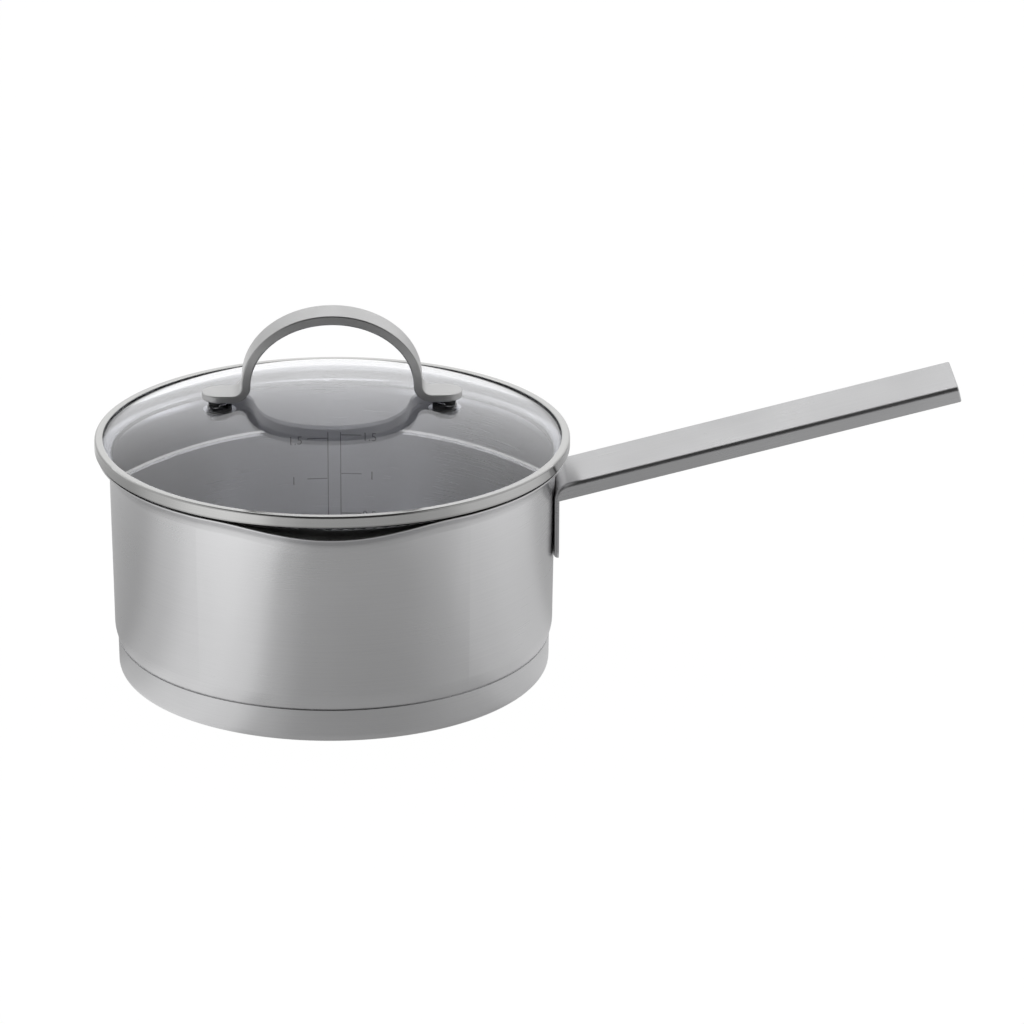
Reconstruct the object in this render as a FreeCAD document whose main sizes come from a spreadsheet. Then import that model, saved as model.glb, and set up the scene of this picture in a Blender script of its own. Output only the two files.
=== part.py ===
import FreeCAD, Part
import math
import os
import Sketcher
from FreeCAD import Placement, Vector

# Saucepan with a glass lid, in millimetres.
# The origin is the centre of the base on the table, +Z is up, the long handle points along +X and
# the pouring spout faces -Y. The pan and everything welded to it is one body; the lid is the other.

DIMENSIONS = [
    # the drawn pan
    ("pan_radius", 90.8, "outer radius of the wall where the lip starts"),
    ("pan_sheet", 0.8, "thickness of the drawn steel"),
    ("wall_draft", 1.1, "radius that the wall loses between the lip and the table"),
    ("lip_start", 88.2, "height where the wall turns out into the lip"),
    ("lip_flare", 4.7, "how far the lip's edge stands out past the wall"),
    ("lip_rise", 4.0, "how far the lip's edge rises above the start of the lip"),
    ("lip_bend", 2.2, "length of wall taken up by the bend into the lip"),
    ("floor_corner", 14.0, "outer radius between wall and floor"),
    # the spout pressed into the wall
    ("spout_length", 26.2, "how far below the lip the spout starts to bulge"),
    ("spout_half_angle", 28.6, "half of the angle that the spout takes of the rim"),
    ("spout_reach", 2.2, "how far the spout stands out past the lip"),
    ("spout_dip", 3.2, "how far the spout dips under the lip"),
    ("spout_power", 1.7, "how much the spout's form gathers towards its middle"),
    ("spout_margin", 8.0, "angle beyond the spout that is lofted with it"),
    ("spout_step", 4.0, "angle between the spout's sections"),
    # the encapsulated base
    ("cap_sheet", 0.8, "thickness of the base cap"),
    ("core_thickness", 6.0, "thickness of the aluminium core"),
    ("cap_height", 14.0, "height of the cap's upper edge, the seam round the pan"),
    ("cap_corner", 3.2, "outer radius of the cap's lower edge"),
    ("cap_land", 0.48, "width of the ledge that the cap's upper edge leaves round the pan"),
    # the long handle
    ("handle_drop", 7.1, "how far the handle's top face meets the wall below the lip"),
    ("handle_pitch", 14.4, "angle of the handle above level"),
    ("handle_length", 167.0, "length of the top face from the wall, along the slope"),
    ("handle_width", 33.2, "width of the handle"),
    ("handle_depth", 6.4, "depth of the folded channel"),
    ("handle_sheet", 2.1, "thickness of the handle's steel"),
    ("handle_bend", 7.6, "outer radius of the bend between top face and flange"),
    ("handle_fold", 1.7, "outer radius of the folded long edges"),
    ("handle_end_round", 0.7, "radius of the edges at the free end"),
    ("flange_length", 32.1, "length of the flange down the wall"),
    ("flange_corner", 4.0, "radius of the flange's lower corners"),
    ("flange_seat", 1.1, "how far the flange's flat back lies inside the wall's radius"),
    ("flange_gap", 0.3, "gap between the wall and the hollow in the flange's back"),
    ("plate_sheet", 1.2, "thickness of the plate that closes the channel"),
    ("plate_clearance", 0.3, "clearance between that plate and the flange"),
    ("weld_radius", 2.5, "radius of a spot weld"),
    ("weld_pitch", 7.0, "distance between spot welds"),
    ("weld_margin", 5.0, "lowest spot weld above the flange's lower edge"),
    # the glass
    ("dome_radius", 232.0, "radius of the dome's outer face"),
    ("glass_thickness", 3.0, "thickness of the glass"),
    ("glass_rise", 1.96, "height of the glass's lower edge above the lip's edge"),
    ("glass_edge_gap", 1.1, "gap between the glass's edge and the rim's inner face"),
    ("glass_hole_gap", 1.0, "gap round the boss in each of the two holes"),
    ("glass_edge_round", 0.6, "rounding of the ground edge"),
    # the rolled rim of the lid
    ("rim_overhang", 1.1, "how far the lid's rim stands out past the lip"),
    ("rim_step", 0.13, "height of the rim's upper face above its crimped edge"),
    ("rim_rise", 2.1, "height of the rim's lower edge above the lip's edge"),
    ("rim_sheet", 0.6, "thickness of the rim's steel"),
    ("rim_corner", 0.9, "outer radius of the rim's upper edge"),
    ("rim_lap", 3.3, "width of the rim's upper face"),
    ("rim_clearance", 0.1, "clearance between rim and glass"),
    ("skirt_gap", 0.6, "gap between the pan's wall and the skirt that drops into it"),
    ("skirt_drop", 2.6, "how far the skirt's lower edge lies below the lip's edge"),
    ("guard_drop", 4.6, "how much further down the skirt reaches behind the spout"),
    ("guard_half_angle", 36.0, "half of the angle that this longer part of the skirt takes"),
    ("guard_corner", 2.0, "radius of its two lower corners"),
    ("seat_drop", 0.6, "how far the skirt meets the sloping seat below the lip's edge"),
    ("seat_inset", 1.6, "how far inside the rim's outer face the sloping seat starts"),
    ("skirt_bend", 1.2, "outer radius between skirt and sloping seat"),
    ("rim_foot_round", 1.0, "outer radius of the rim's lower edge"),
    ("rim_crimp", 0.42, "width of the crimped edge that bears on the glass"),
    ("seat_gap", 0.6, "height between the pan's lip and the lid's sloping seat"),
    ("seat_slope", 0.75, "slope of that seat, as a share of the lip's slope"),
    # the lid's bow handle
    ("bow_half_span", 36.6, "half of the bow's width over its legs"),
    ("bow_leg", 4.0, "height above the feet where the legs turn into the arch"),
    ("bow_rise", 29.95, "rise of the arch above that"),
    ("bow_top_thickness", 3.85, "thickness at the top of the arch"),
    ("bow_leg_thickness", 3.7, "thickness of the legs"),
    ("bow_width", 15.0, "width of the strip"),
    ("bow_round", 0.5, "rounding of the strip's long edges"),
    ("tab_thickness", 2.9, "thickness of the feet"),
    ("tab_reach", 8.6, "distance of each fixing from the leg's outer face"),
    # the two fixings through the glass
    ("boss_radius", 3.5, "radius of the threaded boss"),
    ("thread_gap", 0.05, "gap between the screw and the boss's thread"),
    ("gasket_radius", 4.9, "radius of the silicone gaskets"),
    ("upper_gasket_height", 1.3, "height of the upper gasket at the fixing's axis"),
    ("lower_gasket_height", 2.25, "height of the lower gasket at the fixing's axis"),
    ("fixing_clearance", 0.1, "clearance round boss and screw"),
    ("washer_radius", 6.6, "radius of the steel washer"),
    ("washer_thickness", 1.0, "thickness of the washer"),
    ("boss_foot_gap", 0.3, "height between the boss and the washer"),
    ("screw_radius", 2.0, "radius of the screw"),
    ("screw_head_radius", 4.0, "radius of the screw's head"),
    ("screw_head_height", 2.4, "height of the screw's head"),
    ("screw_reach", 5.6, "length of the screw above the washer"),
    ("screw_socket", 1.4, "half the width across the corners of the hexagon socket"),
    ("screw_socket_depth", 1.3, "depth of the socket"),
]

# Places and sizes that follow from the ones above, where one piece fits another.
FITS = [
    ("lip_radius", "Size.pan_radius + Size.lip_flare", "outer radius of the lip's edge"),
    ("lip_height", "Size.lip_start + Size.lip_rise", "height of the lip's outer edge"),
    ("spout_foot", "Size.lip_start - Size.spout_length", "height where the spout starts to bulge"),
    ("handle_height", "Size.lip_start - Size.handle_drop", "height of the handle's top face at the wall"),
    ("flange_foot", "handle_height - Size.flange_length", "height of the flange's lower edge"),
    ("rim_radius", "lip_radius + Size.rim_overhang", "outer radius of the lid's rim"),
    ("rim_foot", "lip_height + Size.rim_rise", "height where the rim turns in under the glass"),
    ("lap_radius", "rim_radius - Size.rim_lap", "inner radius of the rim's crimped edge"),
    ("seat_radius", "rim_radius - Size.seat_inset", "radius where the sloping seat starts"),
    ("skirt_radius", "Size.pan_radius - Size.pan_sheet - Size.skirt_gap", "outer radius of the skirt"),
    ("skirt_foot", "lip_height - Size.skirt_drop", "height of the skirt's lower edge"),
    ("guard_foot", "lip_height - Size.skirt_drop - Size.guard_drop", "height of the longer part's lower edge"),
    ("skirt_top", "lip_height - Size.seat_drop", "height where the skirt meets the seat"),
    ("glass_radius", "rim_radius - Size.rim_sheet - Size.glass_edge_gap", "radius of the glass disc"),
    ("glass_foot", "lip_height + Size.glass_rise", "height of the glass's lower edge"),
    ("inner_radius", "Size.dome_radius - Size.glass_thickness", "radius of the dome's inner face"),
    ("dome_centre", "glass_foot - sqrt(inner_radius ^ 2 - glass_radius ^ 2)", "height of the dome's centre"),
    ("dome_height", "dome_centre + Size.dome_radius", "height of the dome's highest point"),
    ("lap_face", "dome_centre + sqrt(Size.dome_radius ^ 2 - lap_radius ^ 2)", "glass under the crimped edge"),
    ("lap_height", "lap_face + Size.rim_clearance + Size.rim_sheet", "height of the crimped edge"),
    ("rim_top", "lap_height + Size.rim_step", "height of the rim's upper face"),
    ("tab_centre", "Size.bow_half_span + Size.tab_reach", "distance of the fixings from the axis"),
    ("fixing_top", "dome_centre + sqrt(Size.dome_radius ^ 2 - tab_centre ^ 2)", "glass's outer face there"),
    ("fixing_under", "dome_centre + sqrt(inner_radius ^ 2 - tab_centre ^ 2)", "glass's inner face there"),
    ("tab_foot", "fixing_top + Size.upper_gasket_height", "height of the feet's lower face"),
    ("tab_top", "tab_foot + Size.tab_thickness", "height of the feet's upper face"),
    ("bow_spring", "tab_top + Size.bow_leg", "height where the legs turn into the arch"),
    ("gasket_foot", "fixing_under - Size.lower_gasket_height", "height of the lower gasket's flat face"),
    ("washer_foot", "gasket_foot - Size.washer_thickness", "height of the washer's lower face"),
    ("screw_tip", "gasket_foot + Size.screw_reach", "height of the screw's tip"),
    ("glass_hole", "Size.boss_radius + Size.glass_hole_gap", "radius of the two holes"),
    ("boss_bore", "Size.screw_radius + Size.thread_gap", "radius of the boss's thread"),
]

document = FreeCAD.newDocument("Saucepan")


def fill_sheet(name, rows, sign):
    """Add a spreadsheet with a note, a value and an alias in each row."""
    page = document.addObject("Spreadsheet::Sheet", name)
    for row, (alias, value, note) in enumerate(rows, start=1):
        page.set(f"A{row}", note)
        page.set(f"B{row}", f"{sign}{value}")
        page.setAlias(f"B{row}", alias)
    document.recompute()
    return page


sheet = fill_sheet("Size", DIMENSIONS, "")
fits = fill_sheet("Fit", FITS, "=")

NODES = []
NEAR = 0.01
CUT_MARGIN = 10.0
JOIN_TOLERANCE = 0.002
SPOUT_AZIMUTH = -90.0
HALVINGS = 60


def size(alias):
    """Return one driving or fitted dimension as a number."""
    page = fits if any(alias == row[0] for row in FITS) else sheet
    return float(page.get(alias))


def keep(node, label):
    """Name a finished sub-part and put it on the list of files to write."""
    node.Label = label
    NODES.append(node)
    return node


def feature(label, shape, placement=None):
    """Hold a shape that was made with Part's own functions as one sub-part."""
    node = document.addObject("Part::Feature", label)
    node.Shape = shape
    node.Placement = placement or Placement()
    return keep(node, label)


# ---------------------------------------------------------------- sections in the XZ plane


def point(x, z):
    return Vector(x, 0.0, z)


def unit(x, z):
    length = math.hypot(x, z)
    return x / length, z / length


def bezier(*poles):
    curve = Part.BezierCurve()
    curve.setPoles([point(*pole) for pole in poles])
    return curve.toShape()


def line(start, end):
    return Part.makeLine(point(*start), point(*end))


def corner_arc(before, corner, after, radius):
    """Return the tangent points and the arc that rounds one corner of an outline."""
    ux, uz = unit(before[0] - corner[0], before[1] - corner[1])
    vx, vz = unit(after[0] - corner[0], after[1] - corner[1])
    half = math.acos(max(-1.0, min(1.0, ux * vx + uz * vz))) / 2.0
    setback = radius / math.tan(half)
    start = (corner[0] + ux * setback, corner[1] + uz * setback)
    end = (corner[0] + vx * setback, corner[1] + vz * setback)
    mx, mz = unit(ux + vx, uz + vz)
    depth = radius / math.sin(half) - radius
    middle = (corner[0] + mx * depth, corner[1] + mz * depth)
    return start, Part.Arc(point(*start), point(*middle), point(*end)).toShape(), end


def rounded_path(points, radii):
    """Return the edges of an open outline whose inner corners are rounded."""
    edges = []
    last = points[0]
    for index in range(1, len(points) - 1):
        if radii[index] <= 0.0:
            edges.append(line(last, points[index]))
            last = points[index]
            continue
        start, arc, end = corner_arc(points[index - 1], points[index], points[index + 1], radii[index])
        edges.append(line(last, start))
        edges.append(arc)
        last = end
    edges.append(line(last, points[-1]))
    return edges


def offset_points(points, distance):
    """Move an open outline sideways, to the left of its direction, with mitred corners."""
    moved = []
    for index, (x, z) in enumerate(points):
        normals = []
        if index > 0:
            dx, dz = unit(x - points[index - 1][0], z - points[index - 1][1])
            normals.append((-dz, dx))
        if index < len(points) - 1:
            dx, dz = unit(points[index + 1][0] - x, points[index + 1][1] - z)
            normals.append((-dz, dx))
        nx = sum(normal[0] for normal in normals)
        nz = sum(normal[1] for normal in normals)
        scale = distance * len(normals) / (nx * nx + nz * nz)
        moved.append((x + nx * scale, z + nz * scale))
    return moved


def strip_face(points, radii, thickness):
    """Return the section of a bent sheet: an outline, and the same outline one thickness to its left."""
    inner_points = offset_points(points, thickness)
    inner_radii = []
    for index, radius in enumerate(radii):
        if radius <= 0.0 or index in (0, len(points) - 1):
            inner_radii.append(0.0)
            continue
        (ax, az), (bx, bz), (cx, cz) = points[index - 1], points[index], points[index + 1]
        turn = (bx - ax) * (cz - bz) - (bz - az) * (cx - bx)
        inner_radii.append(radius - thickness if turn > 0.0 else radius + thickness)
    outer = rounded_path(points, radii)
    inner = rounded_path(inner_points, inner_radii)
    ends = [line(points[0], inner_points[0]), line(points[-1], inner_points[-1])]
    return Part.Face(Part.Wire(Part.__sortEdges__(outer + inner + ends)))


def revolve(face, angle=360.0):
    return face.revolve(Vector(0, 0, 0), Vector(0, 0, 1), angle)


# ---------------------------------------------------------------- pan


def wall_slope():
    """Return how much the wall's radius grows with each millimetre of height."""
    return size("wall_draft") / size("lip_start")


def wall_radius(height):
    """Return the wall's outer radius at a height above the table."""
    return size("pan_radius") - (size("lip_start") - height) * wall_slope()


def pan_foot():
    """Return the height of the drawn pan's underside, on top of cap and core."""
    return size("cap_sheet") + size("core_thickness")


def corner_centre():
    """Return the centre of the round between wall and floor."""
    radius = size("floor_corner")
    height = pan_foot() + radius
    lean = math.atan(wall_slope())
    return wall_radius(height) - radius / math.cos(lean), height


def corner_point(height):
    """Return the point of the pan's outer corner round at a height."""
    centre_x, centre_z = corner_centre()
    drop = centre_z - height
    return centre_x + math.sqrt(size("floor_corner") ** 2 - drop ** 2), height


def lip_outline(depth):
    """Return the outer outline of wall and lip, where depth is 0 beside the spout and 1 in its middle."""
    sheet_steel = size("pan_sheet")
    foot = (wall_radius(size("spout_foot")), size("spout_foot"))
    foot_direction = unit(wall_slope(), 1.0)
    bend_height = size("lip_start") - size("lip_bend")
    bend = (wall_radius(bend_height) + depth * size("spout_reach"), bend_height - depth * size("spout_dip"))
    rise = bend[1] - foot[1]
    bend_direction = unit(wall_slope() * rise + 2.0 * depth * size("spout_reach"), rise)
    corner = (bend[0] + bend_direction[0] * size("lip_bend"), bend[1] + bend_direction[1] * size("lip_bend"))
    edge = (size("lip_radius") + depth * size("spout_reach"), size("lip_height") - depth * size("spout_dip"))
    lip_direction = unit(edge[0] - corner[0], edge[1] - corner[1])
    after = (corner[0] + lip_direction[0] * size("lip_bend"), corner[1] + lip_direction[1] * size("lip_bend"))
    third = rise / 3.0
    controls = [
        foot,
        (foot[0] + foot_direction[0] * third, foot[1] + foot_direction[1] * third),
        (bend[0] - bend_direction[0] * third, bend[1] - bend_direction[1] * third),
        bend,
        corner,
        after,
        edge,
    ]
    return controls, offset_points(controls, sheet_steel), lip_direction


def rim_edges(depth):
    """Return the edges of the section from the wall over the lip and back down the inside."""
    outer, inner, direction = lip_outline(depth)
    half = size("pan_sheet")
    tip = ((outer[6][0] + inner[6][0]) / 2.0 + direction[0] * half,
           (outer[6][1] + inner[6][1]) / 2.0 + direction[1] * half)
    return [
        bezier(outer[0], outer[1], outer[2], outer[3]),
        bezier(outer[3], outer[4], outer[5]),
        line(outer[5], outer[6]),
        bezier(outer[6], tip, inner[6]),
        line(inner[6], inner[5]),
        bezier(inner[5], inner[4], inner[3]),
        bezier(inner[3], inner[2], inner[1], inner[0]),
    ]


def spout_depth(angle):
    """Return how far the spout is formed at an angle from its middle."""
    share = min(1.0, abs(angle) / size("spout_half_angle"))
    return math.cos(share * math.pi / 2.0) ** size("spout_power") if share < 1.0 else 0.0


def spin(edges, start, angle):
    """Turn an open outline about the Z axis, from a start angle on, and return the faces it sweeps."""
    outline = Part.Wire(Part.__sortEdges__(edges))
    outline.rotate(Vector(0, 0, 0), Vector(0, 0, 1), start)
    return outline.revolve(Vector(0, 0, 0), Vector(0, 0, 1), angle).Faces


def spout_faces(sector):
    """Loft the lip's outline round the sector of the spout."""
    steps = 2 * int(round(sector / size("spout_step")))
    sections = []
    for step in range(steps + 1):
        angle = -sector + 2.0 * sector * step / steps
        outline = Part.Wire(Part.__sortEdges__(rim_edges(spout_depth(angle))))
        outline.rotate(Vector(0, 0, 0), Vector(0, 0, 1), SPOUT_AZIMUTH + angle)
        sections.append(outline)
    return Part.makeLoft(sections, False, False).Faces


def pan_body():
    """The drawn pan: floor, wall and lip turned about the axis, and the spout lofted round its sector."""
    outer, inner, _ = lip_outline(0.0)
    steel = size("pan_sheet")
    lean = math.atan(wall_slope())
    centre_x, centre_z = corner_centre()

    def round_edge(radius):
        ends = []
        for angle in (-lean, -(math.pi / 2.0 + lean) / 2.0, -math.pi / 2.0):
            ends.append((centre_x + radius * math.cos(angle), centre_z + radius * math.sin(angle)))
        return ends, Part.Arc(*[point(*end) for end in ends]).toShape()

    outer_ends, outer_round = round_edge(size("floor_corner"))
    inner_ends, inner_round = round_edge(size("floor_corner") - steel)
    inside = [
        line((0.0, pan_foot() + steel), inner_ends[2]),
        inner_round,
        line(inner_ends[0], inner[0]),
    ]
    outside = [
        line(outer[0], outer_ends[0]),
        outer_round,
        line(outer_ends[2], (0.0, pan_foot())),
    ]
    sector = size("spout_half_angle") + size("spout_margin")
    faces = spin(inside + rim_edges(0.0) + outside, SPOUT_AZIMUTH + sector, 360.0 - 2.0 * sector)
    faces += spin(inside, SPOUT_AZIMUTH - sector, 2.0 * sector)
    faces += spin(outside, SPOUT_AZIMUTH - sector, 2.0 * sector)
    faces += spout_faces(sector)
    skin = faces[0].multiFuse(faces[1:], JOIN_TOLERANCE)
    pan = Part.Solid(Part.Shell(skin.Faces))
    if pan.Volume < 0.0:
        pan.reverse()
    return feature("pan_body", pan)


# ---------------------------------------------------------------- sketched bodies


def origin_plane(body, role):
    """Return one of a body's own origin planes."""
    return next(item for item in body.Origin.OriginFeatures if item.Role == role)


def number(expression):
    """Return the value of an expression over the sheet's cells."""
    value = sheet.evalExpression(expression)
    return float(getattr(value, "Value", value))


def place_vertex(sketch, geometry, end, vertex):
    """Tie one end of a sketch line to the sheet through its two coordinates."""
    for kind, expression in zip(("DistanceX", "DistanceY"), vertex):
        value = number(expression)
        if value == 0.0:
            axis = -2 if kind == "DistanceX" else -1
            sketch.addConstraint(Sketcher.Constraint("PointOnObject", geometry, end, axis))
            continue
        index = sketch.addConstraint(Sketcher.Constraint(kind, -1, 1, geometry, end, value))
        sketch.setExpression(f"Constraints[{index}]", expression)


def outline_sketch(body, name, role, vertices):
    """Draw a closed outline whose vertices are pairs of expressions over the sheet."""
    sketch = body.newObject("Sketcher::SketchObject", name)
    sketch.AttachmentSupport = [(origin_plane(body, role), "")]
    sketch.MapMode = "FlatFace"
    places = [Vector(number(x), number(y), 0.0) for x, y in vertices]
    for index, start in enumerate(places):
        sketch.addGeometry(Part.LineSegment(start, places[(index + 1) % len(places)]))
    for index, vertex in enumerate(vertices):
        sketch.addConstraint(Sketcher.Constraint("Coincident", (index - 1) % len(vertices), 2, index, 1))
        place_vertex(sketch, index, 1, vertex)
    return sketch


def turned_body(name, vertices):
    """Turn a closed outline in the XZ plane about the Z axis into a body."""
    body = document.addObject("PartDesign::Body", name)
    sketch = outline_sketch(body, f"{name}_section", "XZ_Plane", vertices)
    turn = body.newObject("PartDesign::Revolution", f"{name}_turn")
    turn.Profile = sketch
    turn.ReferenceAxis = (sketch, ["V_Axis"])
    turn.Angle = 360.0
    document.recompute()
    return body


def fillet(body, name, base, radius, chosen):
    """Round the edges of a feature that a test picks, with a radius from the sheet."""
    edges = [f"Edge{index}" for index, edge in enumerate(base.Shape.Edges, start=1) if chosen(edge)]
    if not edges:
        raise RuntimeError(f"{name} finds no edge to round")
    rounding = body.newObject("PartDesign::Fillet", name)
    rounding.Base = (base, edges)
    rounding.Radius = number(radius)
    rounding.setExpression("Radius", radius)
    document.recompute()
    if abs(rounding.Shape.Volume - base.Shape.Volume) < NEAR:
        raise RuntimeError(f"{name} rounds nothing")
    return rounding


# ---------------------------------------------------------------- encapsulated base


def cap_radius(height):
    """Return the cap's outer radius at a height: a ledge outside the pan's round at the seam."""
    seam = size("cap_height")
    return corner_point(seam)[0] + size("cap_land") - (seam - height) * wall_slope()


def cap_inner_top():
    """Return the height where the cap's inner face leaves the pan's round and runs straight down."""
    low, high = pan_foot(), size("cap_height")
    for _ in range(HALVINGS):
        middle = (low + high) / 2.0
        if corner_point(middle)[0] > cap_radius(middle) - size("cap_sheet"):
            high = middle
        else:
            low = middle
    return low


def pan_round(lower, upper):
    """Return the part of the pan's outer round between two heights."""
    centre_x, centre_z = corner_centre()
    radius = size("floor_corner")
    first = math.asin((lower - centre_z) / radius)
    last = math.asin((upper - centre_z) / radius)
    angles = (first, (first + last) / 2.0, last)
    ends = []
    for angle in angles:
        ends.append(point(centre_x + radius * math.cos(angle), centre_z + radius * math.sin(angle)))
    return Part.Arc(*ends).toShape()


def cap_inner_path():
    """Return the cap's inner outline from the axis over the rounded edge up to the pan's round."""
    steel = size("cap_sheet")
    top = cap_inner_top()
    points = [(0.0, steel), (cap_radius(steel) - steel, steel), (cap_radius(top) - steel, top)]
    return rounded_path(points, [0.0, size("cap_corner") - steel, 0.0])


def base_cap():
    """The steel cup pressed over the core: its edge meets the pan's round and leaves the seam."""
    height = size("cap_height")
    top = cap_inner_top()
    outer = rounded_path([(0.0, 0.0), (cap_radius(0.0), 0.0), (cap_radius(height), height)],
                         [0.0, size("cap_corner"), 0.0])
    section = outer + cap_inner_path() + [
        line((cap_radius(height), height), corner_point(height)),
        pan_round(top, height),
        line((0.0, 0.0), (0.0, size("cap_sheet"))),
    ]
    return feature("base_cap", revolve(Part.Face(Part.Wire(Part.__sortEdges__(section)))))


def base_core():
    """The aluminium disc that fills the space between cap and pan."""
    top = cap_inner_top()
    centre_x, _ = corner_centre()
    section = cap_inner_path() + [
        pan_round(pan_foot(), top),
        line((centre_x, pan_foot()), (0.0, pan_foot())),
        line((0.0, pan_foot()), (0.0, size("cap_sheet"))),
    ]
    return feature("base_core", revolve(Part.Face(Part.Wire(Part.__sortEdges__(section)))))


# ---------------------------------------------------------------- long handle

SLOPE = "tan(Size.handle_pitch * 1deg)"
LEVEL = "cos(Size.handle_pitch * 1deg)"
RISE = "sin(Size.handle_pitch * 1deg)"
END_X = f"Size.pan_radius + Size.handle_length * {LEVEL}"
END_Z = f"Fit.handle_height + Size.handle_length * {RISE}"


FLANGE_BACK = "(Size.pan_radius - Size.flange_seat)"


def under_line(x, depth):
    """Return the height, at a place along X, of the line that lies a depth under the top face."""
    return f"Fit.handle_height + ({x} - Size.pan_radius) * {SLOPE} - {depth} / {LEVEL}"


def handle_shell():
    """The long handle: a sheet folded to a channel, whose top bends down into the welded flange."""
    body = document.addObject("PartDesign::Body", "handle_shell")
    face = f"{FLANGE_BACK} + Size.handle_sheet"
    outline = outline_sketch(body, "handle_side", "XZ_Plane", [
        (FLANGE_BACK, "Fit.flange_foot"),
        (face, "Fit.flange_foot"),
        (face, under_line(face, "Size.handle_depth")),
        (f"{END_X} + Size.handle_depth * {RISE}", f"{END_Z} - Size.handle_depth * {LEVEL}"),
        (END_X, END_Z),
        (FLANGE_BACK, under_line(FLANGE_BACK, "0")),
    ])
    bar = body.newObject("PartDesign::Pad", "handle_bar")
    bar.Profile = outline
    bar.Midplane = True
    bar.setExpression("Length", "Size.handle_width")
    document.recompute()

    def runs_across(edge, x, z):
        box = edge.BoundBox
        placed = abs(box.XMin - x) < NEAR and abs(box.ZMin - z) < NEAR
        return placed and box.DiagonalLength - box.YLength < NEAR

    def on_bend(edge):
        return runs_across(edge, number(FLANGE_BACK), number(under_line(FLANGE_BACK, "0")))

    def on_flange_corner(edge):
        box = edge.BoundBox
        return box.DiagonalLength - box.XLength < NEAR and abs(box.ZMin - size("flange_foot")) < NEAR

    def on_fold(edge):
        box = edge.BoundBox
        upper = box.ZMin > size("handle_height")
        return box.YLength < NEAR and box.XLength > size("handle_length") / 2.0 and upper

    def on_end(edge):
        return edge.BoundBox.XMin > number(END_X) - size("handle_fold")

    def on_inner_bend(edge):
        return runs_across(edge, number(face), number(under_line(face, "Size.handle_sheet")))

    bend = fillet(body, "handle_bend", bar, "Size.handle_bend", on_bend)
    corners = fillet(body, "flange_corners", bend, "Size.flange_corner", on_flange_corner)
    folds = fillet(body, "handle_folds", corners, "Size.handle_fold", on_fold)
    ends = fillet(body, "handle_end", folds, "Size.handle_end_round", on_end)
    inner_end_x = f"({END_X} - Size.handle_sheet * {LEVEL})"
    open_depth = "(Size.handle_depth + Size.handle_sheet)"
    hollow = outline_sketch(body, "handle_hollow", "XZ_Plane", [
        (face, under_line(face, "Size.handle_sheet")),
        (face, under_line(face, open_depth)),
        (f"{inner_end_x} + {open_depth} * {RISE}",
         f"{END_Z} - Size.handle_sheet * {RISE} - {open_depth} * {LEVEL}"),
        (f"{inner_end_x} + Size.handle_sheet * {RISE}",
         f"{END_Z} - Size.handle_sheet * {RISE} - Size.handle_sheet * {LEVEL}"),
    ])
    pocket = body.newObject("PartDesign::Pocket", "handle_channel")
    pocket.Profile = hollow
    pocket.Midplane = True
    pocket.setExpression("Length", "Size.handle_width - 2 * Size.handle_sheet")
    document.recompute()
    if not pocket.Shape.Volume < ends.Shape.Volume:
        raise RuntimeError("the channel cuts nothing")
    inner = fillet(body, "handle_inner_bend", pocket, "Size.handle_bend - Size.handle_sheet", on_inner_bend)
    hollow_flange(body, inner)
    return keep(body, "handle_shell")


def hollow_flange(body, before):
    """Hollow the flange's back to the round of the wall."""
    low, high = "0", "Size.lip_start"
    hollow = outline_sketch(body, "flange_hollow", "XZ_Plane", [
        ("0", low),
        ("Size.pan_radius - Size.wall_draft + Size.flange_gap", low),
        ("Size.pan_radius + Size.flange_gap", high),
        ("0", high),
    ])
    groove = body.newObject("PartDesign::Groove", "flange_back")
    groove.Profile = hollow
    groove.ReferenceAxis = (hollow, ["V_Axis"])
    groove.Angle = 360.0
    document.recompute()
    if not groove.Shape.Volume < before.Shape.Volume:
        raise RuntimeError("the hollow in the flange cuts nothing")


def handle_plate():
    """The flat plate that closes the channel from below."""
    body = document.addObject("PartDesign::Body", "handle_plate")
    start = f"{FLANGE_BACK} + Size.handle_sheet + Size.plate_clearance"
    end_x = f"({END_X} - Size.handle_sheet * {LEVEL})"
    end_z = f"({END_Z} - Size.handle_sheet * {RISE})"
    upper = "(Size.handle_depth - Size.plate_sheet)"
    outline = outline_sketch(body, "plate_side", "XZ_Plane", [
        (start, under_line(start, "Size.handle_depth")),
        (f"{end_x} + Size.handle_depth * {RISE}", f"{end_z} - Size.handle_depth * {LEVEL}"),
        (f"{end_x} + {upper} * {RISE}", f"{end_z} - {upper} * {LEVEL}"),
        (start, under_line(start, upper)),
    ])
    pad = body.newObject("PartDesign::Pad", "plate")
    pad.Profile = outline
    pad.Midplane = True
    pad.setExpression("Length", "Size.handle_width - 2 * Size.handle_sheet")
    document.recompute()
    return keep(body, "handle_plate")


def handle_welds():
    """The spot welds that fill the gap between the wall and the flange's hollow back."""
    radius = size("weld_radius")
    reach = size("pan_radius")
    top = size("handle_height")
    gap = size("flange_gap")
    wall = Part.makeCone(wall_radius(0.0), wall_radius(top), top)
    hollow = Part.makeCone(wall_radius(0.0) + gap, wall_radius(top) + gap, top)
    flat_height = top - size("handle_bend") - size("flange_foot")
    count = int((flat_height - 2.0 * size("weld_margin")) // size("weld_pitch")) + 1
    spots = []
    for index in range(count):
        height = size("flange_foot") + size("weld_margin") + index * size("weld_pitch")
        start = Vector(reach - 2.0 * radius, 0.0, height)
        spot = Part.makeCylinder(radius, 4.0 * radius, start, Vector(1, 0, 0))
        spots.append(spot.common(hollow).cut(wall))
    return feature("handle_welds", Part.makeCompound(spots))


# ---------------------------------------------------------------- glass lid


def dome_face(radius, inset=0.0):
    """Return the height of the dome's outer face, or of the sphere an inset under it, at a radius."""
    return size("dome_centre") + math.sqrt((size("dome_radius") - inset) ** 2 - radius ** 2)


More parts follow.
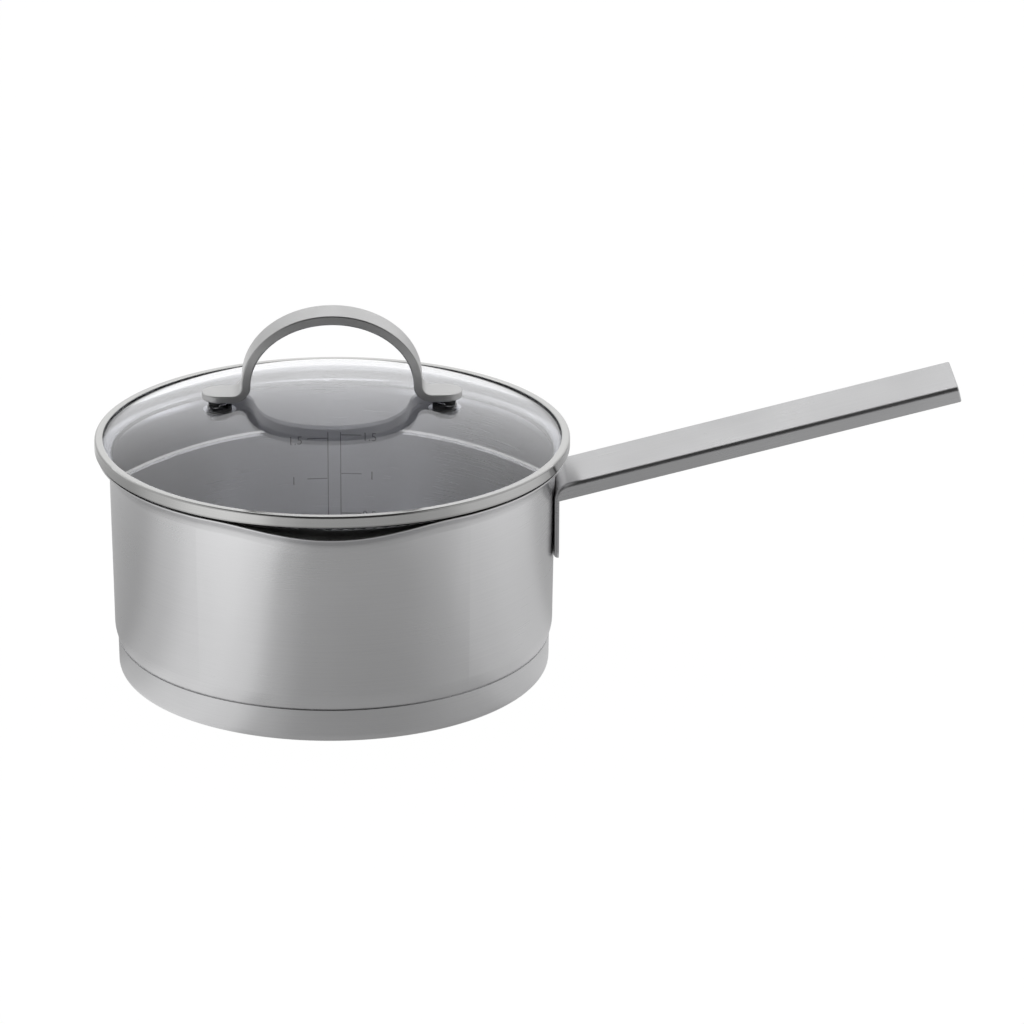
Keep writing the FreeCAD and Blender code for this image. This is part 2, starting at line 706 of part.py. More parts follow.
def lid_glass():
    """The domed glass disc with its two holes."""
    thickness = size("glass_thickness")
    edge = size("glass_radius")

    def arc(inset):
        places = [(edge, dome_face(edge, inset)), (edge / 2.0, dome_face(edge / 2.0, inset)),
                  (0.0, dome_face(0.0, inset))]
        return Part.Arc(*[point(*place) for place in places]).toShape()

    section = [
        arc(0.0),
        arc(thickness),
        line((edge, dome_face(edge)), (edge, dome_face(edge, thickness))),
        line((0.0, dome_face(0.0)), (0.0, dome_face(0.0, thickness))),
    ]
    glass = revolve(Part.Face(Part.Wire(Part.__sortEdges__(section))))
    rims = [item for item in glass.Edges if item.Closed and abs(item.BoundBox.XMax - edge) < NEAR]
    glass = glass.makeFillet(size("glass_edge_round"), rims)
    for side in (-1, 1):
        foot = Vector(side * size("tab_centre"), 0.0, size("dome_height") - CUT_MARGIN)
        glass = glass.cut(Part.makeCylinder(size("glass_hole"), CUT_MARGIN, foot))
    return feature("lid_glass", glass)


def seat_line(radius):
    """Return the height of the lid's sloping seat at a radius, above the pan's lip."""
    outer, inner, direction = lip_outline(0.0)
    lip_x, lip_z = inner[6]
    slope = direction[1] / direction[0]
    return lip_z + size("seat_gap") + (radius - lip_x) * slope * size("seat_slope")


def lid_rim():
    """The rolled steel rim: it laps over the glass, turns in under it and drops as a skirt."""
    steel = size("rim_sheet")
    flat_radius = size("lap_radius") + size("rim_crimp") + size("rim_step")
    seat = size("seat_radius")
    points = [
        (size("skirt_radius"), size("skirt_foot")),
        (size("skirt_radius"), size("skirt_top")),
        (seat, seat_line(seat)),
        (size("rim_radius"), size("rim_foot")),
        (size("rim_radius"), size("rim_top")),
        (flat_radius, size("rim_top")),
        (size("lap_radius"), size("lap_height")),
    ]
    radii = [0.0, size("skirt_bend"), 0.0, size("rim_foot_round"), size("rim_corner"), 0.0, 0.0]
    rim = revolve(strip_face(points, radii, steel))
    return feature("lid_rim", rim.fuse(skirt_guard(steel)).removeSplitter())


def skirt_guard(steel):
    """Return the longer part of the skirt, which keeps solids back when liquid is poured off through the spout."""
    foot, top, outer = size("guard_foot"), size("skirt_foot") + steel, size("skirt_radius")
    places = [(outer - steel, foot), (outer, foot), (outer, top), (outer - steel, top)]
    section = Part.Face(Part.makePolygon([point(*place) for place in [*places, places[0]]]))
    half = size("guard_half_angle")
    guard = revolve(section, 2.0 * half)
    corners = [edge for edge in guard.Edges if edge.BoundBox.ZMax < foot + NEAR and abs(edge.Length - steel) < NEAR]
    guard = guard.makeFillet(size("guard_corner"), corners)
    guard.rotate(Vector(0, 0, 0), Vector(0, 0, 1), SPOUT_AZIMUTH - half)
    return guard


# ---------------------------------------------------------------- bow handle of the lid


def half_ellipse(half_span, rise):
    """Return the upper half of an ellipse that springs at the bow's legs, from -X to +X."""
    half_circle = Part.Arc(Vector(-1, 0, 0), Vector(0, 0, 1), Vector(1, 0, 0)).toShape()
    stretch = FreeCAD.Matrix()
    stretch.scale(half_span, 1.0, rise)
    arch = half_circle.transformGeometry(stretch)
    arch.translate(point(0.0, size("bow_spring")))
    return arch


def foot_arc(side, leg, level):
    """Return the bend between a leg's face and the level face of its foot."""
    radius = size("bow_spring") - level
    centre = (leg + radius, size("bow_spring"))
    middle = (centre[0] - radius * math.sqrt(0.5), centre[1] - radius * math.sqrt(0.5))
    places = [(leg, size("bow_spring")), middle, (centre[0], level)]
    return Part.Arc(*[point(side * x, z) for x, z in places]).toShape(), centre[0]


def lid_handle():
    """The strip bent to an arch, with a level round-ended foot on each side."""
    inner_leg = size("bow_half_span") - size("bow_leg_thickness")
    foot_level = size("tab_foot")
    centre = size("tab_centre")
    section = [half_ellipse(size("bow_half_span"), size("bow_rise")),
               half_ellipse(inner_leg, size("bow_rise") - size("bow_top_thickness"))]
    for side in (-1, 1):
        upper, upper_end = foot_arc(side, size("bow_half_span"), size("tab_top"))
        lower, lower_end = foot_arc(side, inner_leg, foot_level)
        section += [
            upper,
            lower,
            line((side * upper_end, size("tab_top")), (side * centre, size("tab_top"))),
            line((side * lower_end, foot_level), (side * centre, foot_level)),
            line((side * centre, foot_level), (side * centre, size("tab_top"))),
        ]
    half_width = size("bow_width") / 2.0
    face = Part.Face(Part.Wire(Part.__sortEdges__(section)))
    face.translate(Vector(0.0, -half_width, 0.0))
    bow = face.extrude(Vector(0.0, 2.0 * half_width, 0.0))
    for side in (-1, 1):
        foot = point(0.0, foot_level)
        end = Part.makeCylinder(half_width, size("tab_thickness"), foot, Vector(0, 0, 1), 180.0)
        end.rotate(Vector(0, 0, 0), Vector(0, 0, 1), side * -90.0)
        end.translate(point(side * centre, 0.0))
        bow = bow.fuse(end)
    bow = bow.removeSplitter()
    rims = [edge for edge in bow.Edges if on_strip_rim(edge, half_width, centre, foot_level)]
    return feature("lid_handle", bow.makeFillet(size("bow_round"), rims))


def on_strip_rim(edge, half_width, centre, foot_level):
    """Tell whether an edge runs along the strip's sides or round the end of a foot."""
    box = edge.BoundBox
    along_side = box.YLength < NEAR and abs(abs(box.YMin) - half_width) < NEAR
    upright = box.XLength < NEAR
    round_end = box.ZLength < NEAR and abs(edge.CenterOfMass.x) > centre
    level = min(abs(box.ZMin - foot_level), abs(box.ZMin - size("tab_top"))) < NEAR
    return (along_side and not upright) or (round_end and level)


# ---------------------------------------------------------------- fixings through the glass

SIDES = {"left": -1, "right": 1}


def primitive(kind, name, places=None, **sizes):
    """Add a Part primitive whose sizes and place are bound to the sheet."""
    solid = document.addObject(kind, name)
    for key, expression in sizes.items():
        solid.setExpression(key, expression)
    for axis, expression in (places or {}).items():
        solid.setExpression(f"Placement.Base.{axis}", expression)
    return solid


def boolean(kind, name, base, tool):
    result = document.addObject(kind, name)
    result.Base = base
    result.Tool = tool
    return result


def beside(node, side):
    """Stand a body on the axis of one of the two fixings."""
    node.setExpression("Placement.Base.x", f"{SIDES[side]} * Fit.tab_centre")
    return node


def lid_boss(side):
    """The threaded boss under the foot, which passes through the glass."""
    foot = "Fit.gasket_foot + Size.boss_foot_gap"
    end = "Fit.screw_tip + Size.boss_foot_gap"
    body = turned_body(f"lid_boss_{side}", [
        ("Fit.boss_bore", foot), ("Size.boss_radius", foot), ("Size.boss_radius", "Fit.tab_foot"),
        ("0", "Fit.tab_foot"), ("0", end), ("Fit.boss_bore", end),
    ])
    return keep(beside(body, side), f"lid_boss_{side}")


def lid_washer(side):
    """The steel washer between the screw's head and the lower gasket."""
    hole = "Size.screw_radius + Size.fixing_clearance"
    body = turned_body(f"lid_washer_{side}", [
        (hole, "Fit.washer_foot"), ("Size.washer_radius", "Fit.washer_foot"),
        ("Size.washer_radius", "Fit.gasket_foot"), (hole, "Fit.gasket_foot"),
    ])
    return keep(beside(body, side), f"lid_washer_{side}")


def lid_screw(side):
    """The screw that comes up from under the lid, with a hexagon socket in its head."""
    head = "Fit.washer_foot - Size.screw_head_height"
    body = turned_body(f"lid_screw_{side}", [
        ("0", head), ("Size.screw_head_radius", head), ("Size.screw_head_radius", "Fit.washer_foot"),
        ("Size.screw_radius", "Fit.washer_foot"), ("Size.screw_radius", "Fit.screw_tip"),
        ("0", "Fit.screw_tip"),
    ])
    corners = []
    for index in range(6):
        across, up = math.cos(index * math.pi / 3.0), math.sin(index * math.pi / 3.0)
        corners.append((f"Size.screw_socket * {across:.6f}", f"Size.screw_socket * {up:.6f}"))
    solid = body.Tip
    pocket = body.newObject("PartDesign::Pocket", f"socket_{side}")
    pocket.Profile = outline_sketch(body, f"socket_{side}_outline", "XY_Plane", corners)
    pocket.Reversed = True
    pocket.setExpression("Length", f"{head} + Size.screw_socket_depth")
    document.recompute()
    if not pocket.Shape.Volume < solid.Shape.Volume:
        raise RuntimeError("the socket cuts nothing")
    return keep(beside(body, side), f"lid_screw_{side}")


def gasket(name, side, foot, top, dome_radius, trim):
    """A silicone disc round the boss, whose face against the glass follows the dome."""
    x = f"{SIDES[side]} * Fit.tab_centre"
    disc = primitive("Part::Cylinder", f"{name}_disc", {"x": x, "z": foot},
                     Radius="Size.gasket_radius", Height=f"{top} - ({foot})")
    hole = primitive("Part::Cylinder", f"{name}_hole", {"x": x, "z": foot},
                     Radius="Size.boss_radius + Size.fixing_clearance", Height=f"{top} - ({foot})")
    dome = primitive("Part::Sphere", f"{name}_dome", {"z": "Fit.dome_centre"}, Radius=dome_radius)
    ring = boolean("Part::Cut", f"{name}_ring", disc, hole)
    return keep(boolean(trim, name, ring, dome), name)


def lid_gasket_upper(side):
    """The gasket between foot and glass."""
    name = f"lid_gasket_upper_{side}"
    return gasket(name, side, "Fit.gasket_foot", "Fit.tab_foot", "Size.dome_radius", "Part::Cut")


def lid_gasket_lower(side):
    """The gasket between glass and washer."""
    name = f"lid_gasket_lower_{side}"
    return gasket(name, side, "Fit.gasket_foot", "Fit.tab_foot", "Fit.inner_radius", "Part::Common")


# ---------------------------------------------------------------- assembly and files


def build():
    for sub_part in (pan_body, base_core, base_cap, handle_shell, handle_plate, handle_welds,
                     lid_glass, lid_rim, lid_handle):
        sub_part()
    for side in SIDES:
        for sub_part in (lid_boss, lid_gasket_upper, lid_gasket_lower, lid_washer, lid_screw):
            sub_part(side)
    document.recompute()


def check():
    """Stop when any object of the document failed or any sub-part isn't a valid solid."""
    for item in document.Objects:
        if {"Invalid", "Error"} & set(item.State):
            raise RuntimeError(f"{item.Label} failed: {item.State}")
    for node in NODES:
        if node.Shape.isNull() or not node.Shape.isValid() or not node.Shape.Solids:
            raise RuntimeError(f"{node.Label} isn't a valid solid")


def export():
    os.makedirs("parts", exist_ok=True)
    for node in NODES:
        node.Shape.exportStep(f"parts/{node.Label}.step")
        print(f"{node.Label}: {len(node.Shape.Solids)} solid(s), {node.Shape.Volume:.1f} mm3")


build()
check()
export()
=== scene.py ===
"""Saucepan with a glass lid: finishes, capacity scale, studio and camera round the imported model.

Everything is in metres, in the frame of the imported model: the origin is the centre of the base on the
table, +Z is up, the long handle points along +X and the pouring spout faces -Y.
"""

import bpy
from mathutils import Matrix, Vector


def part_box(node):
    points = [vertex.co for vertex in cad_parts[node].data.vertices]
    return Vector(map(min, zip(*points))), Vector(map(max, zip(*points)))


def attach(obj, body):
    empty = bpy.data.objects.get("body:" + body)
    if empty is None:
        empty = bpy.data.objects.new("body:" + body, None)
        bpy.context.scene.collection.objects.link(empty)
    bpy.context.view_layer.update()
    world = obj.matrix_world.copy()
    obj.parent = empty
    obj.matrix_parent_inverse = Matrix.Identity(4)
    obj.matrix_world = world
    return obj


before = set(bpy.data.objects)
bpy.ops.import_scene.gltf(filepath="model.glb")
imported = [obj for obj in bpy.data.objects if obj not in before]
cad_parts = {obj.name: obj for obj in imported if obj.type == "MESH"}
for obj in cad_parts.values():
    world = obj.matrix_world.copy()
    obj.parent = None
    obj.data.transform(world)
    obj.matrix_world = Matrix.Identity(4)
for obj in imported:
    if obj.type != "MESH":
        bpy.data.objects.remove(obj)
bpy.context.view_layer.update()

import logging
import math
from dataclasses import dataclass
from enum import Enum

import bmesh
import bpy
from mathutils import Matrix, Vector

MM = 0.001
WHITE = (1.0, 1.0, 1.0, 1.0)
# Most values of one noise texture lie in the first band, and those of two added ones in the second.
NOISE_BAND = (0.3, 0.7)
TWO_NOISES_BAND = (0.7, 1.3)
LOG = logging.getLogger("saucepan")


# ---------------------------------------------------------------- node and colour helpers


def linear(hex_code: str) -> tuple[float, float, float, float]:
    """Turn an sRGB hex colour into Blender's linear values.

    Args:
        hex_code: six hex digits, such as "A0A0A0".

    Returns:
        Red, green, blue and an alpha of 1.
    """
    channels = [int(hex_code[start:start + 2], 16) / 255.0 for start in (0, 2, 4)]
    red, green, blue = (c / 12.92 if c <= 0.04045 else ((c + 0.055) / 1.055) ** 2.4 for c in channels)
    return red, green, blue, 1.0


def add_node(tree: bpy.types.NodeTree, kind: str, inputs: dict | None = None,
             **settings: object) -> bpy.types.Node:
    """Add one node with its settings, and fill or link its inputs.

    Args:
        tree: the node tree that gets the node.
        kind: the node's Blender type.
        inputs: input name or index to a value, or to the output socket that feeds it.
        **settings: attributes of the node itself.

    Returns:
        The new node.
    """
    node = tree.nodes.new(kind)
    for name, value in settings.items():
        setattr(node, name, value)
    for key, value in (inputs or {}).items():
        if isinstance(value, bpy.types.NodeSocket):
            tree.links.new(value, node.inputs[key])
        else:
            node.inputs[key].default_value = value
    return node


def new_material(name: str) -> tuple[bpy.types.Material, bpy.types.NodeTree]:
    """Make an empty node material.

    Args:
        name: the material's name.

    Returns:
        The material and its node tree.
    """
    material = bpy.data.materials.new(name)
    material.use_nodes = True
    material.node_tree.nodes.clear()
    return material, material.node_tree


def finish_with(tree: bpy.types.NodeTree, shader: bpy.types.NodeSocket) -> None:
    """Link a shader to the material's output."""
    add_node(tree, "ShaderNodeOutputMaterial", {"Surface": shader})


class Grain(Enum):
    """The way that the grooves of a brushed surface run."""

    ROUND = "round the pan's axis"
    HANDLE = "along the long handle"
    ARCH = "along the lid's arched strip"


# ---------------------------------------------------------------- finishes


@dataclass(frozen=True)
class BrushedSteel:
    """Stainless steel 18/10, brushed with an abrasive belt: its highlights spread across the grooves.

    To the eye it is a soft metal with bright and dark bands that run across the brushing.
    """

    name: str
    colour: str
    grain: Grain
    roughness: float = 0.3
    anisotropy: float = 0.75
    # Belt grit leaves grooves about 0.1 mm wide; they are drawn wider so that they show in the render.
    groove: float = 0.3 * MM
    streak: float = 40.0 * MM
    depth: float = 0.012 * MM
    # How much the grooves lighten and darken the colour, and grooves and clouds together the roughness.
    unevenness: float = 0.06
    roughness_spread: float = 0.12
    # Polishing pressure varies slowly over the surface, in clouds of this size.
    cloud: float = 35.0 * MM
    # How steeply the brushing rises, where it follows the long handle.
    pitch: float = 0.0
    # Painted shade: faces that look along the strip's width, to the front and the back, have their colour
    # scaled down to this factor; the band says how squarely a face looks along the width before it is shaded.
    painted_side_shade: float = 1.0
    painted_side_shade_band: tuple[float, float] = (0.6, 0.9)
    # Share of the groove depth that is left on walls that face the axis, because the inside is finished
    # finer, and the distance over which it sets in.
    inner_share: float = 1.0
    inner_band: float = 5.0 * MM

    def grain_vector(self, tree: bpy.types.NodeTree) -> bpy.types.NodeSocket:
        """Return coordinates that change fast across the grooves and slowly along them.

        Args:
            tree: the material's node tree.

        Returns:
            The vector's socket.
        """
        place = add_node(tree, "ShaderNodeTexCoord").outputs["Object"]
        if self.grain is Grain.HANDLE:
            return add_node(tree, "ShaderNodeMapping", {
                "Vector": place, "Rotation": (0.0, -self.pitch, 0.0),
                "Scale": (self.streak, self.groove, self.groove)}, vector_type="TEXTURE").outputs["Vector"]
        if self.grain is Grain.ARCH:
            return add_node(tree, "ShaderNodeMapping", {
                "Vector": place, "Scale": (self.streak, self.groove, self.streak)},
                vector_type="TEXTURE").outputs["Vector"]
        parts = add_node(tree, "ShaderNodeSeparateXYZ", {"Vector": place})
        flat = add_node(tree, "ShaderNodeCombineXYZ", {"X": parts.outputs["X"], "Y": parts.outputs["Y"]})
        radius = add_node(tree, "ShaderNodeVectorMath", {0: flat.outputs["Vector"]}, operation="LENGTH")
        across = add_node(tree, "ShaderNodeMath", {0: radius.outputs["Value"], 1: parts.outputs["Z"]},
                          operation="ADD")
        joined = add_node(tree, "ShaderNodeCombineXYZ", {
            "X": parts.outputs["X"], "Y": parts.outputs["Y"], "Z": across.outputs["Value"]})
        return add_node(tree, "ShaderNodeMapping", {
            "Vector": joined.outputs["Vector"], "Scale": (self.streak, self.streak, self.groove)},
            vector_type="TEXTURE").outputs["Vector"]

    def tangent(self, tree: bpy.types.NodeTree) -> tuple[bpy.types.NodeSocket, float]:
        """Return the direction that the anisotropic highlight is measured from, and its rotation.

        Args:
            tree: the material's node tree.

        Returns:
            The tangent's socket and the anisotropic rotation that puts the spread across the grooves.
        """
        if self.grain is Grain.HANDLE:
            normal = add_node(tree, "ShaderNodeNewGeometry").outputs["Normal"]
            along = (math.cos(self.pitch), 0.0, math.sin(self.pitch))
            across = add_node(tree, "ShaderNodeVectorMath", {0: normal, 1: along}, operation="CROSS_PRODUCT")
            return across.outputs["Vector"], 0.0
        axis = "Z" if self.grain is Grain.ROUND else "Y"
        return add_node(tree, "ShaderNodeTangent", direction_type="RADIAL", axis=axis).outputs["Tangent"], 0.25

    def groove_depth(self, tree: bpy.types.NodeTree,
                     place: bpy.types.NodeSocket) -> bpy.types.NodeSocket | float:
        """Return the depth of the grooves, less on walls that face the axis.

        Args:
            tree: the material's node tree.
            place: the object coordinates.

        Returns:
            The depth in metres, or its socket.
        """
        if self.inner_share == 1.0:
            return self.depth
        flat = add_node(tree, "ShaderNodeVectorMath", {0: place, 1: (1.0, 1.0, 0.0)}, operation="MULTIPLY")
        normal = add_node(tree, "ShaderNodeTexCoord").outputs["Normal"]
        outward = add_node(tree, "ShaderNodeVectorMath", {0: normal, 1: flat.outputs["Vector"]},
                           operation="DOT_PRODUCT").outputs["Value"]
        return add_node(tree, "ShaderNodeMapRange", {
            "Value": outward, "From Min": -self.inner_band, "From Max": self.inner_band,
            "To Min": self.depth * self.inner_share, "To Max": self.depth}).outputs["Result"]

    def shade(self, tree: bpy.types.NodeTree, grooves: bpy.types.NodeSocket) -> bpy.types.NodeSocket:
        """Return the factor that lightens or darkens the colour by the grooves, with painted shade on faces
        that look to the front and back.

        Args:
            tree: the material's node tree.
            grooves: the pattern of the grooves.

        Returns:
            The factor's socket.
        """
        streaks = add_node(tree, "ShaderNodeMapRange", {
            "Value": grooves, "From Min": NOISE_BAND[0], "From Max": NOISE_BAND[1],
            "To Min": 1.0 - self.unevenness, "To Max": 1.0 + self.unevenness}).outputs["Result"]
        if self.painted_side_shade == 1.0:
            return streaks
        # Painted shade: the colour is darkened on faces whose normal looks along Y, to the front and the back.
        normal = add_node(tree, "ShaderNodeTexCoord").outputs["Normal"]
        facing = add_node(tree, "ShaderNodeSeparateXYZ", {"Vector": normal}).outputs["Y"]
        side = add_node(tree, "ShaderNodeMath", {0: facing}, operation="ABSOLUTE").outputs["Value"]
        darker = add_node(tree, "ShaderNodeMapRange", {
            "Value": side, "From Min": self.painted_side_shade_band[0], "From Max": self.painted_side_shade_band[1],
            "To Min": 1.0, "To Max": self.painted_side_shade}).outputs["Result"]
        return add_node(tree, "ShaderNodeMath", {0: streaks, 1: darker}, operation="MULTIPLY").outputs["Value"]

    def material(self) -> bpy.types.Material:
        """Build the node material.

        Returns:
            The finished material.
        """
        material, tree = new_material(self.name)
        vector = self.grain_vector(tree)
        grooves = add_node(tree, "ShaderNodeTexNoise", {
            "Vector": vector, "Scale": 1.0, "Detail": 4.0, "Roughness": 0.65}).outputs["Fac"]
        place = add_node(tree, "ShaderNodeTexCoord").outputs["Object"]
        clouds = add_node(tree, "ShaderNodeTexNoise", {
            "Vector": place, "Scale": 1.0 / self.cloud, "Detail": 2.0}).outputs["Fac"]
        colour = add_node(tree, "ShaderNodeVectorMath", {
            0: linear(self.colour)[:3], "Scale": self.shade(tree, grooves)},
            operation="SCALE").outputs["Vector"]
        mixed = add_node(tree, "ShaderNodeMath", {0: grooves, 1: clouds}, operation="ADD").outputs["Value"]
        rough = add_node(tree, "ShaderNodeMapRange", {
            "Value": mixed, "From Min": TWO_NOISES_BAND[0], "From Max": TWO_NOISES_BAND[1],
            "To Min": self.roughness * (1.0 - self.roughness_spread),
            "To Max": self.roughness * (1.0 + self.roughness_spread)}).outputs["Result"]
        bump = add_node(tree, "ShaderNodeBump", {
            "Height": grooves, "Strength": 0.5, "Distance": self.groove_depth(tree, place)}).outputs["Normal"]
        tangent, turn = self.tangent(tree)
        shader = add_node(tree, "ShaderNodeBsdfPrincipled", {
            "Base Color": colour, "Metallic": 1.0, "Roughness": rough, "Normal": bump,
            "Anisotropic": self.anisotropy, "Anisotropic Rotation": turn, "Tangent": tangent})
        finish_with(tree, shader.outputs["BSDF"])
        return material


@dataclass(frozen=True)
class ClearGlass:
    """Toughened soda-lime glass, pressed and fire-polished: clear, with sharp reflections.

    To the eye it shows the pan's inside, with the bow and the room mirrored faintly over it.
    """

    name: str
    # Centre of the dome's sphere.
    centre: Vector
    colour: str = "F4F5FA"
    ior: float = 1.52
    # A face belongs to the dome where its normal lies this close to the sphere's, as a cosine.
    dome_share: float = 0.9

    def round_normal(self, tree: bpy.types.NodeTree) -> bpy.types.NodeSocket:
        """Return the exact normal of the dome's two faces, and the mesh's own normal on edge and holes.

        Args:
            tree: the material's node tree.

        Returns:
            The normal's socket.
        """
        place = add_node(tree, "ShaderNodeTexCoord").outputs["Object"]
        normal = add_node(tree, "ShaderNodeNewGeometry").outputs["Normal"]
        spoke = add_node(tree, "ShaderNodeVectorMath", {0: place, 1: self.centre},
                         operation="SUBTRACT").outputs["Vector"]
        outward = add_node(tree, "ShaderNodeVectorMath", {0: spoke}, operation="NORMALIZE").outputs["Vector"]
        facing = add_node(tree, "ShaderNodeVectorMath", {0: normal, 1: outward},
                          operation="DOT_PRODUCT").outputs["Value"]
        side = add_node(tree, "ShaderNodeMath", {0: facing}, operation="SIGN").outputs["Value"]
        turned = add_node(tree, "ShaderNodeVectorMath", {0: outward, "Scale": side},
                          operation="SCALE").outputs["Vector"]
        share = add_node(tree, "ShaderNodeMath", {0: facing}, operation="ABSOLUTE").outputs["Value"]
        domed = add_node(tree, "ShaderNodeMath", {0: share, 1: self.dome_share},
                         operation="GREATER_THAN").outputs["Value"]
        return add_node(tree, "ShaderNodeMix", {0: domed, 4: normal, 5: turned}, data_type="VECTOR").outputs[1]

    def material(self) -> bpy.types.Material:
        """Build the node material.

        Returns:
            The finished material.
        """
        material, tree = new_material(self.name)
        shader = add_node(tree, "ShaderNodeBsdfPrincipled", {
            "Base Color": linear(self.colour), "Roughness": 0.0, "IOR": self.ior, "Transmission Weight": 1.0,
            "Normal": self.round_normal(tree)})
        finish_with(tree, shader.outputs["BSDF"])
        return material


@dataclass(frozen=True)
class MouldedSilicone:
    """Silicone rubber, moulded: the mould's blasted face leaves it black and matt."""

    name: str
    colour: str = "141415"
    roughness: tuple[float, float] = (0.5, 0.75)
    # A blasted mould has pits about 0.1 mm wide; they are drawn wider so that they show.
    pit: float = 0.4 * MM
    depth: float = 0.02 * MM

    def material(self) -> bpy.types.Material:
        """Build the node material.

        Returns:
            The finished material.
        """
        material, tree = new_material(self.name)
        place = add_node(tree, "ShaderNodeTexCoord").outputs["Object"]
        skin = add_node(tree, "ShaderNodeTexNoise", {
            "Vector": place, "Scale": 1.0 / self.pit, "Detail": 2.0}).outputs["Fac"]
        rough = add_node(tree, "ShaderNodeMapRange", {
            "Value": skin, "To Min": self.roughness[0], "To Max": self.roughness[1]}).outputs["Result"]
        bump = add_node(tree, "ShaderNodeBump", {
            "Height": skin, "Strength": 0.3, "Distance": self.depth}).outputs["Normal"]
        shader = add_node(tree, "ShaderNodeBsdfPrincipled", {
            "Base Color": linear(self.colour), "Roughness": rough, "Normal": bump})
        finish_with(tree, shader.outputs["BSDF"])
        return material


@dataclass(frozen=True)
class EtchedMark:
    """Electro-etched steel: the current leaves the marks matt and grey, a little darker than the wall."""

    name: str
    colour: str = "8C8C8D"
    # The oxide left by the current hides part of the metal's shine.
    metallic: float = 0.6
    roughness: tuple[float, float] = (0.55, 0.8)
    pit: float = 0.3 * MM

    def material(self) -> bpy.types.Material:
        """Build the node material.

        Returns:
            The finished material.
        """
        material, tree = new_material(self.name)
        place = add_node(tree, "ShaderNodeTexCoord").outputs["Object"]
        pits = add_node(tree, "ShaderNodeTexNoise", {
            "Vector": place, "Scale": 1.0 / self.pit, "Detail": 2.0}).outputs["Fac"]
        rough = add_node(tree, "ShaderNodeMapRange", {
            "Value": pits, "To Min": self.roughness[0], "To Max": self.roughness[1]}).outputs["Result"]
        shader = add_node(tree, "ShaderNodeBsdfPrincipled", {
            "Base Color": linear(self.colour), "Metallic": self.metallic, "Roughness": rough})
        finish_with(tree, shader.outputs["BSDF"])
        return material


# ---------------------------------------------------------------- pieces


def dress(node: str, material: bpy.types.Material) -> None:
    """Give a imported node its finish.

    Args:
        node: the node's name.
        material: the finish that replaces its plain one.
    """
    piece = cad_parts[node]
    piece.data.materials.clear()
    piece.data.materials.append(material)
    LOG.info("dressed %s in %s", node, material.name)


@dataclass
class Pan:
    """The drawn pan with its sealed base."""

    steel: BrushedSteel = BrushedSteel("stainless_steel_brushed_round", "D2D2D3", Grain.ROUND,
                                        depth=0.006 * MM, unevenness=0.03, inner_share=0.25)
    turned: BrushedSteel = BrushedSteel("stainless_steel_turned", "D2D2D3", Grain.ROUND, roughness=0.34,
                                         unevenness=0.035)
    core: BrushedSteel = BrushedSteel("aluminium_stamped", "D8D8D8", Grain.ROUND, roughness=0.5)

    def build(self) -> None:
        """Dress the pan's nodes."""
        dress("pan_body", self.steel.material())
        dress("base_cap", self.turned.material())
        dress("base_core", self.core.material())


